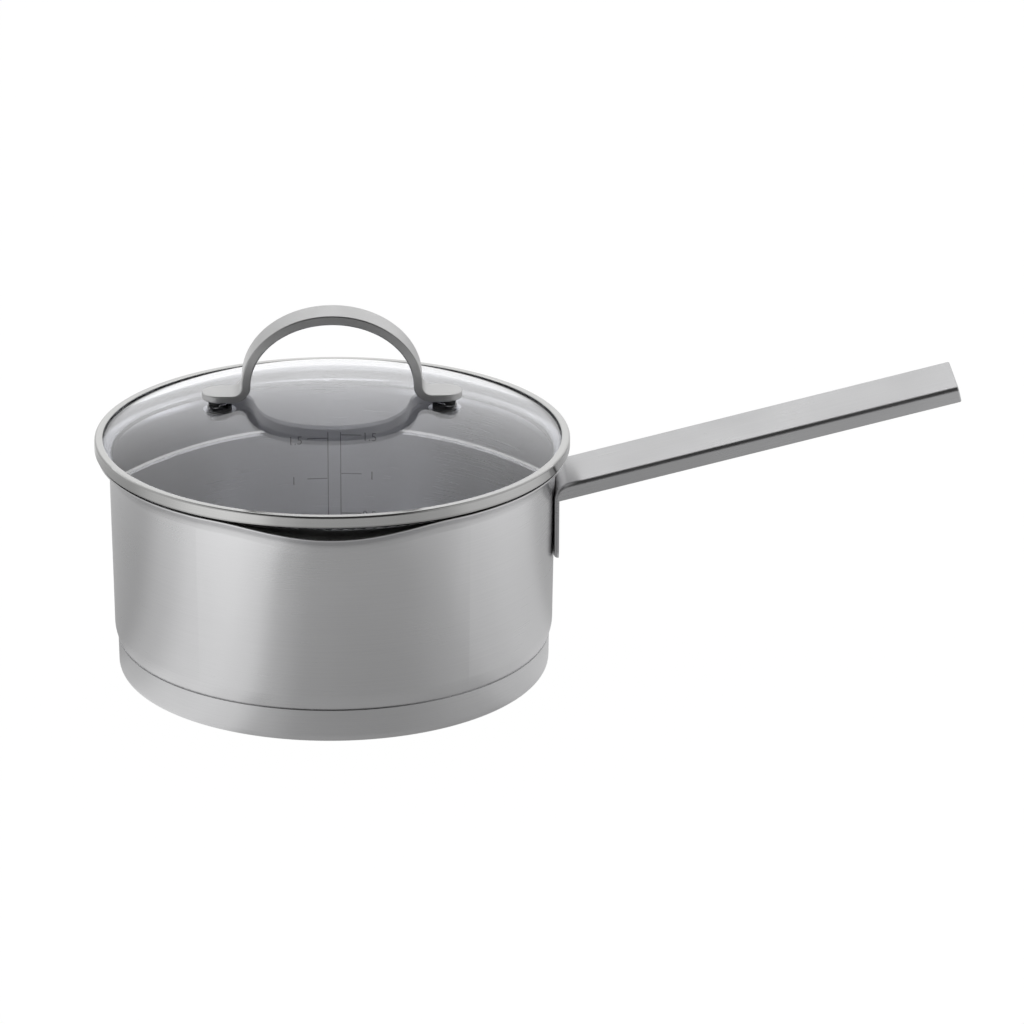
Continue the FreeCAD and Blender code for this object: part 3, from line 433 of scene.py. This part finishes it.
@dataclass
class CapacityScale:
    """The scale etched opposite the spout: two upright lines with ticks and plain numbers."""

    mark: EtchedMark = EtchedMark("stainless_steel_etched")
    # Where the two upright lines stand across the wall, and from where to where they go.
    lines: tuple[float, float] = (-2.0 * MM, 3.4 * MM)
    foot: float = 24.0 * MM
    top: float = 67.6 * MM
    stroke: float = 0.42 * MM
    tick: float = 8.6 * MM
    # Gap between line and tick, so that the two solids stay apart.
    tick_gap: float = 0.1 * MM
    digit: float = 3.7 * MM
    # How far a number's middle lies below its tick.
    digit_drop: float = 0.6 * MM
    proud: float = 0.03 * MM
    sunk: float = 0.06 * MM
    # Radius that the flat drawing is laid round, and the longest straight stretch of a bar.
    roll_radius: float = 89.5 * MM
    stretch: float = 2.0 * MM
    # Number, height of its tick and the middle of the number, for the left and the right side.
    left: tuple[tuple[str, float, float], ...] = (
        ("1.5", 64.9 * MM, -15.6 * MM), ("1", 46.7 * MM, -16.8 * MM), ("0.5", 29.8 * MM, -15.0 * MM))
    right: tuple[tuple[str, float, float], ...] = (
        ("1.5", 66.4 * MM, 16.2 * MM), ("1", 48.9 * MM, 16.8 * MM), ("0.5", 30.9 * MM, 15.6 * MM))

    def on_wall(self, across: float, height: float, proud: float) -> Vector:
        """Find the place on the pan's wall for a point of the flat drawing.

        Args:
            across: distance along the wall from its middle, as seen from the spout.
            height: height above the table.
            proud: how far the point stands out of the wall.

        Returns:
            The point in the shared frame.
        """
        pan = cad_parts["pan_body"]
        turn = across / self.roll_radius
        way = Vector((math.sin(turn), math.cos(turn), 0.0))
        hit, place, _, _ = pan.ray_cast(Vector((0.0, 0.0, height)), way)
        if not hit:
            raise ValueError(f"no wall at {across}, {height}")
        return place - way * proud

    def solid(self, name: str, shape: bmesh.types.BMesh, material: bpy.types.Material) -> None:
        """Lay a flat drawing, with a front (Z above 0) and a back (Z below 0), on the wall.

        Args:
            name: the new piece's name.
            shape: the closed drawing, X across and Y up.
            material: its finish.
        """
        for vertex in shape.verts:
            proud = self.proud if vertex.co.z > 0.0 else -self.sunk
            vertex.co = self.on_wall(vertex.co.x, vertex.co.y, proud)
        bmesh.ops.recalc_face_normals(shape, faces=shape.faces[:])
        mesh = bpy.data.meshes.new(name)
        shape.to_mesh(mesh)
        shape.free()
        mesh.materials.append(material)
        piece = bpy.data.objects.new(name, mesh)
        bpy.context.scene.collection.objects.link(piece)
        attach(piece, "pan")

    def strip(self, shape: bmesh.types.BMesh, start: tuple[float, float], end: tuple[float, float]) -> None:
        """Draw one straight bar, cut into short lengths so that it can follow the wall.

        Args:
            shape: the drawing to add to.
            start: lower left corner.
            end: upper right corner.
        """
        wide, tall = end[0] - start[0], end[1] - start[1]
        steps = max(1, round(max(wide, tall) / self.stretch))
        shift = (wide / steps, 0.0) if wide > tall else (0.0, tall / steps)
        corner = (start[0] if wide > tall else end[0], end[1] if wide > tall else start[1])
        rails = []
        for step in range(steps + 1):
            first = (start[0] + shift[0] * step, start[1] + shift[1] * step)
            second = (corner[0] + shift[0] * step, corner[1] + shift[1] * step)
            rails.append([shape.verts.new((x, y, z)) for x, y, z in (
                (*first, 1.0), (*second, 1.0), (*second, -1.0), (*first, -1.0))])
        for one, two in zip(rails, rails[1:]):
            for side in range(4):
                other = (side + 1) % 4
                shape.faces.new((one[side], one[other], two[other], two[side]))
        shape.faces.new(rails[0])
        shape.faces.new(rails[-1])

    def number(self, text: str, middle: float, height: float) -> bmesh.types.BMesh:
        """Draw a number in the plain built-in letters.

        Args:
            text: the digits.
            middle: where the number's middle lies across.
            height: where its middle lies upwards.

        Returns:
            The closed drawing.
        """
        curve = bpy.data.curves.new("number", "FONT")
        curve.body = text
        curve.extrude = 1.0
        curve.resolution_u = 4
        letters = bpy.data.objects.new("number", curve)
        mesh = bpy.data.meshes.new_from_object(letters)
        bpy.data.objects.remove(letters)
        shape = bmesh.new()
        shape.from_mesh(mesh)
        bpy.data.meshes.remove(mesh)
        bmesh.ops.remove_doubles(shape, verts=shape.verts[:], dist=1e-5)
        low, high = (tuple(edge(v.co[axis] for v in shape.verts) for axis in (0, 1)) for edge in (min, max))
        scale = self.digit / (high[1] - low[1])
        for vertex in shape.verts:
            vertex.co.x = middle + (vertex.co.x - (low[0] + high[0]) / 2.0) * scale
            vertex.co.y = height + (vertex.co.y - (low[1] + high[1]) / 2.0) * scale
        return shape

    def build(self) -> None:
        """Etch lines, ticks and numbers into the wall."""
        material = self.mark.material()
        half = self.stroke / 2.0
        for place, side, marks in zip(self.lines, ("left", "right"), (self.left, self.right)):
            shape = bmesh.new()
            self.strip(shape, (place - half, self.foot), (place + half, self.top))
            self.solid(f"scale_line_{side}", shape, material)
            near = place + math.copysign(half + self.tick_gap, place)
            ends = sorted((near, near + math.copysign(self.tick, place)))
            for count, (text, height, middle) in enumerate(marks, 1):
                shape = bmesh.new()
                self.strip(shape, (ends[0], height - half), (ends[1], height + half))
                self.solid(f"scale_tick_{side}_{count}", shape, material)
                number = self.number(text, middle, height - self.digit_drop)
                self.solid(f"scale_number_{side}_{count}", number, material)


@dataclass
class LongHandle:
    """The folded handle with its flange, closing plate and welds."""

    # How steeply the handle rises from the pan; its brushing follows it.
    pitch: float = math.radians(14.4)

    def build(self) -> None:
        """Dress the handle's nodes."""
        steel = BrushedSteel("stainless_steel_brushed_lengthwise", "BEBEBF", Grain.HANDLE, pitch=self.pitch)
        finish = steel.material()
        for node in ("handle_shell", "handle_plate", "handle_welds"):
            dress(node, finish)


@dataclass
class Lid:
    """The domed glass with its rolled rim, arched handle and fixings."""

    # Radius of the sphere that the glass is a cap of.
    dome_radius: float = 232.0 * MM
    rim: BrushedSteel = BrushedSteel("stainless_steel_rolled", "B0B0AF", Grain.ROUND, roughness=0.15,
                                     anisotropy=0.4, depth=0.002 * MM, unevenness=0.02)
    # The strip's finish darkens its front and back faces, and those of the bosses, washers and screws, with
    # painted shade.
    bow: BrushedSteel = BrushedSteel("stainless_steel_satin_strip", "C8C8C8", Grain.ARCH, roughness=0.36,
                                     anisotropy=0.75, unevenness=0.03, painted_side_shade=0.7)
    silicone: MouldedSilicone = MouldedSilicone("silicone_moulded")

    def build(self) -> None:
        """Dress the lid's nodes."""
        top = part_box("lid_glass")[1].z
        glass = ClearGlass("toughened_glass_polished", Vector((0.0, 0.0, top - self.dome_radius)))
        dress("lid_glass", glass.material())
        dress("lid_rim", self.rim.material())
        bow = self.bow.material()
        dress("lid_handle", bow)
        silicone = self.silicone.material()
        for side in ("left", "right"):
            for part in ("boss", "washer", "screw"):
                dress(f"lid_{part}_{side}", bow)
            for part in ("gasket_upper", "gasket_lower"):
                dress(f"lid_{part}_{side}", silicone)


# ---------------------------------------------------------------- studio


@dataclass(frozen=True)
class Softbox:
    """A rectangular lamp that faces the pan."""

    name: str
    place: Vector
    size: tuple[float, float]
    power: float
    # The point that the lamp looks at.
    aim: Vector = Vector((0.0, 0.0, 0.06))

    def build(self) -> None:
        """Stand the lamp; metal and glass mirror the room instead of it."""
        data = bpy.data.lights.new(self.name, "AREA")
        data.shape = "RECTANGLE"
        data.size, data.size_y = self.size
        data.energy = self.power
        lamp = bpy.data.objects.new(self.name, data)
        bpy.context.scene.collection.objects.link(lamp)
        lamp.visible_glossy = False
        turn = (self.aim - self.place).to_track_quat("-Z", "Y")
        lamp.matrix_world = Matrix.Translation(self.place) @ turn.to_matrix().to_4x4()


def compass(tree: bpy.types.NodeTree, way: bpy.types.NodeSocket,
            stops: tuple[tuple[float, float], ...]) -> bpy.types.NodeSocket:
    """Read how bright the surroundings are in a compass direction.

    Args:
        tree: the node tree to add to.
        way: a direction or place, whose X and Y give the compass angle.
        stops: pairs of compass angle in degrees and brightness, in order; 0 is the camera's side.

    Returns:
        The brightness's socket.
    """
    parts = add_node(tree, "ShaderNodeSeparateXYZ", {"Vector": way}).outputs
    front = add_node(tree, "ShaderNodeMath", {0: parts["Y"], 1: -1.0}, operation="MULTIPLY").outputs["Value"]
    angle = add_node(tree, "ShaderNodeMath", {0: parts["X"], 1: front}, operation="ARCTAN2").outputs["Value"]
    turn = add_node(tree, "ShaderNodeMapRange", {
        "Value": angle, "From Min": -math.pi, "From Max": math.pi}).outputs["Result"]
    node = add_node(tree, "ShaderNodeValToRGB", {"Fac": turn})
    node.color_ramp.interpolation = "EASE"
    marks = node.color_ramp.elements
    while len(marks) < len(stops):
        marks.new(0.5)
    for mark, (degrees, level) in zip(marks, stops):
        mark.position = (degrees + 180.0) / 360.0
        mark.color = (level, level, level, 1.0)
    return node.outputs["Color"]


@dataclass
class Sweep:
    """The pale paper that the pan stands on."""

    width: float = 6.0
    colour: str = "F2F2F2"
    # The eye and glass see this much plain white; the rest is matt paper, which keeps the pan's shadow.
    white_share: float = 0.985
    white: float = 1.01
    # How bright metal sees the paper, by compass angle: 0 is the camera's side, 90 the handle's.
    ring: tuple[tuple[float, float], ...] = (
        (-180.0, 0.78), (-160.0, 0.80), (-138.0, 0.50), (-100.0, 0.44), (-80.0, 0.66), (-58.0, 0.93),
        (-45.0, 0.98), (-33.0, 0.88), (-22.0, 0.56), (-10.0, 0.45), (10.0, 0.43), (30.0, 0.42), (46.0, 0.47),
        (62.0, 0.65), (82.0, 0.74), (98.0, 0.72), (116.0, 0.50), (138.0, 0.42), (160.0, 0.56), (180.0, 0.78))
    # Further out the paper gets lighter, between these distances and by this factor.
    lighter: tuple[float, float] = (0.24, 0.38)
    lighter_factor: float = 1.5

    def material(self) -> bpy.types.Material:
        """Build the paper: white to the eye and to glass, softly uneven to metal, matt to the lamps.

        Returns:
            The finished material.
        """
        material, tree = new_material("paper_sweep")
        rays = add_node(tree, "ShaderNodeLightPath").outputs
        seen = add_node(tree, "ShaderNodeMath", {0: rays["Is Camera Ray"], 1: rays["Is Transmission Ray"]},
                        operation="MAXIMUM").outputs["Value"]
        share = add_node(tree, "ShaderNodeMath", {0: seen, 1: self.white_share},
                         operation="MULTIPLY").outputs["Value"]
        paper = add_node(tree, "ShaderNodeBsdfDiffuse", {"Color": linear(self.colour)}).outputs["BSDF"]
        white = add_node(tree, "ShaderNodeEmission", {
            "Color": WHITE, "Strength": self.white}).outputs["Emission"]
        plain = add_node(tree, "ShaderNodeMixShader", {0: share, 1: paper, 2: white}).outputs["Shader"]
        place = add_node(tree, "ShaderNodeTexCoord").outputs["Object"]
        level = compass(tree, place, self.ring)
        distance = add_node(tree, "ShaderNodeVectorMath", {0: place}, operation="LENGTH").outputs["Value"]
        fade = add_node(tree, "ShaderNodeMapRange", {
            "Value": distance, "From Min": self.lighter[0], "From Max": self.lighter[1],
            "To Min": 1.0, "To Max": self.lighter_factor}, interpolation_type="SMOOTHSTEP").outputs["Result"]
        glow = add_node(tree, "ShaderNodeEmission", {"Color": level, "Strength": fade}).outputs["Emission"]
        front = add_node(tree, "ShaderNodeMixShader", {
            0: rays["Is Glossy Ray"], 1: plain, 2: glow}).outputs["Shader"]
        # From below the sheet is clear, so that the pan's underside can be looked at.
        back = add_node(tree, "ShaderNodeNewGeometry").outputs["Backfacing"]
        clear = add_node(tree, "ShaderNodeBsdfTransparent").outputs["BSDF"]
        sheet = add_node(tree, "ShaderNodeMixShader", {0: back, 1: front, 2: clear})
        finish_with(tree, sheet.outputs["Shader"])
        return material

    def build(self) -> None:
        """Lay the sheet on the table's height."""
        mesh = bpy.data.meshes.new("floor")
        shape = bmesh.new()
        bmesh.ops.create_grid(shape, x_segments=1, y_segments=1, size=self.width / 2.0)
        shape.to_mesh(mesh)
        shape.free()
        mesh.materials.append(self.material())
        floor = bpy.data.objects.new("floor", mesh)
        bpy.context.scene.collection.objects.link(floor)


@dataclass
class Room:
    """The room round the sweep, as a world: a pale backdrop with a bright top edge, and a ceiling.

    A direction is given as on a ball of radius 1: X to the handle's side, Y away from the camera, Z up.
    """

    # How bright the backdrop is by compass angle: it is white behind, and dark on the camera's side.
    ring: tuple[tuple[float, float], ...] = (
        (-180.0, 1.30), (-171.0, 1.15), (-161.0, 0.92), (-148.0, 0.74), (-110.0, 0.60), (-88.0, 0.85),
        (-50.0, 1.0), (-32.0, 0.45), (-15.0, 0.08), (30.0, 0.06), (60.0, 0.45), (98.0, 0.72), (130.0, 0.80),
        (156.0, 1.15), (171.0, 1.20), (180.0, 1.30))
    # At the horizon the backdrop is darker by this factor, and at this height it has its full brightness.
    horizon: float = 0.68
    full_height: float = 0.16
    # Its top edge lies this much of the distance above the lid, counted from a least distance, and sinks
    # towards both ends.
    edge_rise: float = 0.805
    least_distance: float = 0.5
    edge_fall: float = 0.2
    edge_softness: float = 0.004
    # A bright line runs along the edge behind the pan: its brightness, its lower border and where it ends.
    line: float = 4.0
    line_border: tuple[float, float] = (-0.028, -0.014)
    line_end: tuple[float, float] = (0.5, 0.7)
    # The ceiling is bright behind and dark in front, and changes between these two places.
    ceiling: tuple[float, float] = (1.0, 0.05)
    ceiling_band: tuple[float, float] = (0.42, 0.28)
    # It is brighter again over both sides.
    flank: float = 0.75
    flank_band: tuple[float, float] = (0.4, 0.7)
    # Up to this height glass shows the white background through itself.
    clear_height: float = 0.1

    def backdrop(self, tree: bpy.types.NodeTree, way: bpy.types.NodeSocket,
                 rise: bpy.types.NodeSocket) -> bpy.types.NodeSocket:
        """Return how bright the room is below the backdrop's top edge.

        Args:
            tree: the world's node tree.
            way: the direction that is looked in.
            rise: how far it lies above the edge.

        Returns:
            The brightness's socket.
        """
        parts = add_node(tree, "ShaderNodeSeparateXYZ", {"Vector": way}).outputs
        edge = add_node(tree, "ShaderNodeMapRange", {
            "Value": rise, "From Min": self.line_border[0], "From Max": self.line_border[1]}).outputs["Result"]
        behind = add_node(tree, "ShaderNodeMapRange", {
            "Value": parts["Y"], "From Min": self.line_end[0], "From Max": self.line_end[1]}).outputs["Result"]
        line = add_node(tree, "ShaderNodeMath", {0: edge, 1: behind}, operation="MULTIPLY").outputs["Value"]
        level = compass(tree, way, self.ring)
        horizon = add_node(tree, "ShaderNodeMapRange", {
            "Value": parts["Z"], "From Min": 0.0, "From Max": self.full_height,
            "To Min": self.horizon, "To Max": 1.0}).outputs["Result"]
        paper = add_node(tree, "ShaderNodeMath", {0: level, 1: horizon}, operation="MULTIPLY").outputs["Value"]
        return add_node(tree, "ShaderNodeMix", {"Factor": line, "A": paper, "B": self.line}).outputs["Result"]

    def overhead(self, tree: bpy.types.NodeTree, way: bpy.types.NodeSocket,
                 side: bpy.types.NodeSocket) -> bpy.types.NodeSocket:
        """Return how bright the ceiling is.

        Args:
            tree: the world's node tree.
            way: the direction that is looked in.
            side: how far it points sideways.

        Returns:
            The brightness's socket.
        """
        parts = add_node(tree, "ShaderNodeSeparateXYZ", {"Vector": way}).outputs
        back = add_node(tree, "ShaderNodeMapRange", {
            "Value": parts["Y"], "From Min": self.ceiling_band[0], "From Max": self.ceiling_band[1],
            "To Min": self.ceiling[0], "To Max": self.ceiling[1]}).outputs["Result"]
        flank = add_node(tree, "ShaderNodeMapRange", {
            "Value": side, "From Min": self.flank_band[0], "From Max": self.flank_band[1],
            "To Max": self.flank}).outputs["Result"]
        return add_node(tree, "ShaderNodeMath", {0: back, 1: flank}, operation="MAXIMUM").outputs["Value"]

    def build(self) -> None:
        """Make the room the scene's world; the eye sees plain white instead, and so does glass low down."""
        world = bpy.data.worlds.new("studio")
        bpy.context.scene.world = world
        world.use_nodes = True
        tree = world.node_tree
        tree.nodes.clear()
        way = add_node(tree, "ShaderNodeTexCoord").outputs["Generated"]
        parts = add_node(tree, "ShaderNodeSeparateXYZ", {"Vector": way}).outputs
        depth = add_node(tree, "ShaderNodeMath", {0: parts["Y"]}, operation="ABSOLUTE").outputs["Value"]
        distance = add_node(tree, "ShaderNodeMath", {0: depth, 1: self.least_distance},
                            operation="MAXIMUM").outputs["Value"]
        side = add_node(tree, "ShaderNodeMath", {0: parts["X"]}, operation="ABSOLUTE").outputs["Value"]
        bent = add_node(tree, "ShaderNodeMath", {0: side, 1: self.edge_fall, 2: parts["Z"]},
                        operation="MULTIPLY_ADD").outputs["Value"]
        rise = add_node(tree, "ShaderNodeMath", {0: distance, 1: -self.edge_rise, 2: bent},
                        operation="MULTIPLY_ADD").outputs["Value"]
        above = add_node(tree, "ShaderNodeMapRange", {
            "Value": rise, "From Min": -self.edge_softness, "From Max": self.edge_softness}).outputs["Result"]
        room = add_node(tree, "ShaderNodeMix", {
            "Factor": above, "A": self.backdrop(tree, way, rise),
            "B": self.overhead(tree, way, side)}).outputs["Result"]
        rays = add_node(tree, "ShaderNodeLightPath").outputs
        low = add_node(tree, "ShaderNodeMath", {0: parts["Z"], 1: self.clear_height},
                       operation="LESS_THAN").outputs["Value"]
        through = add_node(tree, "ShaderNodeMath", {0: rays["Is Transmission Ray"], 1: low},
                           operation="MULTIPLY").outputs["Value"]
        seen = add_node(tree, "ShaderNodeMath", {0: rays["Is Camera Ray"], 1: through},
                        operation="MAXIMUM").outputs["Value"]
        dim = add_node(tree, "ShaderNodeBackground", {"Color": WHITE, "Strength": room}).outputs["Background"]
        white = add_node(tree, "ShaderNodeBackground", {"Color": WHITE, "Strength": 1.0}).outputs["Background"]
        mix = add_node(tree, "ShaderNodeMixShader", {0: seen, 1: dim, 2: white}).outputs["Shader"]
        add_node(tree, "ShaderNodeOutputWorld", {"Surface": mix})


@dataclass
class Studio:
    """The sweep, the room and three softboxes round the pan, and the camera."""

    target: Vector = Vector((0.0732, 0.0, 0.0641))
    camera_place: Vector = Vector((0.0, -1.88707, 0.77627))
    # Focal length and sensor width in millimetres, and how far the camera leans sideways.
    lens: float = 173.26
    sensor: float = 36.0
    roll: float = math.radians(0.314)
    lamps: tuple[Softbox, ...] = (
        Softbox("softbox_left", Vector((-1.6, -1.05, 0.45)), (1.0, 1.2), 6.0),
        Softbox("softbox_right", Vector((1.9, 0.25, 0.45)), (1.0, 1.2), 6.0),
        Softbox("softbox_top", Vector((0.0, 0.0, 2.2)), (1.4, 1.4), 10.0))

    def camera(self) -> None:
        """Stand the camera in front of the pan, a little above it."""
        data = bpy.data.cameras.new("camera")
        data.lens = self.lens
        data.sensor_width = self.sensor
        data.clip_end = 50.0
        camera = bpy.data.objects.new("camera", data)
        bpy.context.scene.collection.objects.link(camera)
        look = (self.target - self.camera_place).to_track_quat("-Z", "Y").to_matrix()
        turn = look @ Matrix.Rotation(self.roll, 3, "Z")
        camera.matrix_world = Matrix.Translation(self.camera_place) @ turn.to_4x4()
        bpy.context.scene.camera = camera

    def build(self) -> None:
        """Set up camera, floor, world and lamps."""
        bpy.context.scene.view_settings.view_transform = "Standard"
        self.camera()
        for piece in (Sweep(), Room(), *self.lamps):
            piece.build()


def main() -> None:
    """Build the studio and dress each sub-assembly in order."""
    logging.basicConfig(level=logging.INFO, format="%(name)s: %(message)s")
    for assembly in (Studio(), Pan(), CapacityScale(), LongHandle(), Lid()):
        assembly.build()
        LOG.info("%s ready", type(assembly).__name__)


if __name__ == "__main__":
    main()
